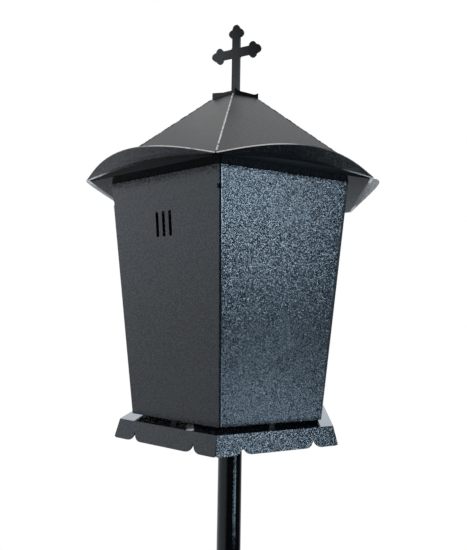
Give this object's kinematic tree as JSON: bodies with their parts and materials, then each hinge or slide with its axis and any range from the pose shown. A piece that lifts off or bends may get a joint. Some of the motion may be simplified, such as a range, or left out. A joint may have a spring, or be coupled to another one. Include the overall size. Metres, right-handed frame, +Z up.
{
  "type": "grave lantern",
  "caption": "Six-sided folded steel lantern for a grave candle on a round pole, with a hinged glazed door, a petal roof with an upturned brim and a budded cross.",
  "frame": {"origin": "centre of the base plate's underside, on the ground below the pole's axis", "axes": "+Z up along the pole; the door faces -Y; the hexagon's corners lie on the X axis and at every 60 degrees"},
  "size_m": [0.3174, 0.3154, 0.7677],
  "materials": {
    "hammered_coat": "dark grey hammered powder coat",
    "roof_coat": "dark grey satin powder coat",
    "gloss_coat": "near-black gloss coat",
    "cross_coat": "dark satin coat with worn edges",
    "zinc": "zinc plated",
    "glass": "clear"
  },
  "bodies": {
    "lantern": {"base_plate": "gloss_coat", "pole": "gloss_coat", "pole_socket": "gloss_coat", "clamp_screw_1": "zinc", "clamp_screw_2": "zinc", "base_tray": "hammered_coat", "candle_cup": "hammered_coat", "tray_bolt_1": "zinc", "tray_bolt_2": "zinc", "tray_bolt_3": "zinc", "tray_nut_1": "zinc", "tray_nut_2": "zinc", "tray_nut_3": "zinc", "rear_panel": "hammered_coat", "left_rear_panel": "hammered_coat", "right_rear_panel": "hammered_coat", "left_front_panel": "hammered_coat", "left_front_glass": "glass", "left_front_glass_rail_lower": "hammered_coat", "left_front_glass_rail_upper": "hammered_coat", "right_front_panel": "hammered_coat", "right_front_glass": "glass", "right_front_glass_rail_lower": "hammered_coat", "right_front_glass_rail_upper": "hammered_coat", "front_panel": "hammered_coat", "hinge_bracket_upper": "hammered_coat", "hinge_bracket_lower": "hammered_coat", "hinge_pin_upper": "zinc", "hinge_pin_lower": "zinc", "soffit_plate": "roof_coat", "roof_bracket_1": "hammered_coat", "roof_bracket_2": "hammered_coat", "roof_bracket_3": "hammered_coat", "roof_screw_1": "zinc", "roof_screw_2": "zinc", "roof_screw_3": "zinc", "roof_petal_front": "roof_coat", "roof_petal_right_front": "roof_coat", "roof_petal_right_rear": "roof_coat", "roof_petal_rear": "roof_coat", "roof_petal_left_rear": "roof_coat", "roof_petal_left_front": "roof_coat", "roof_collar": "cross_coat", "cross": "cross_coat", "roof_clamp_washer": "zinc", "cross_nut": "zinc"},
    "door": {"door_leaf": "hammered_coat", "door_glass": "glass", "door_glass_rail_lower": "hammered_coat", "door_glass_rail_upper": "hammered_coat", "hinge_strap_upper": "hammered_coat", "hinge_strap_lower": "hammered_coat"},
    "latch": {"latch_knob": "gloss_coat", "latch_cam": "zinc", "latch_nut": "zinc"}
  },
  "joints": [
    {"name": "door_hinge", "type": "hinge", "parent": "lantern", "child": "door", "pos_m": [-0.0557, -0.10908, 0.4543], "axis": [0.0615, 0.1065, -0.9924], "range_deg": [0, 110]},
    {"name": "latch_turn", "type": "hinge", "parent": "door", "child": "latch", "pos_m": [0.03999, -0.10391, 0.45485], "axis": [0, 0.9943, 0.1067], "range_deg": [0, 90]}
  ]
}
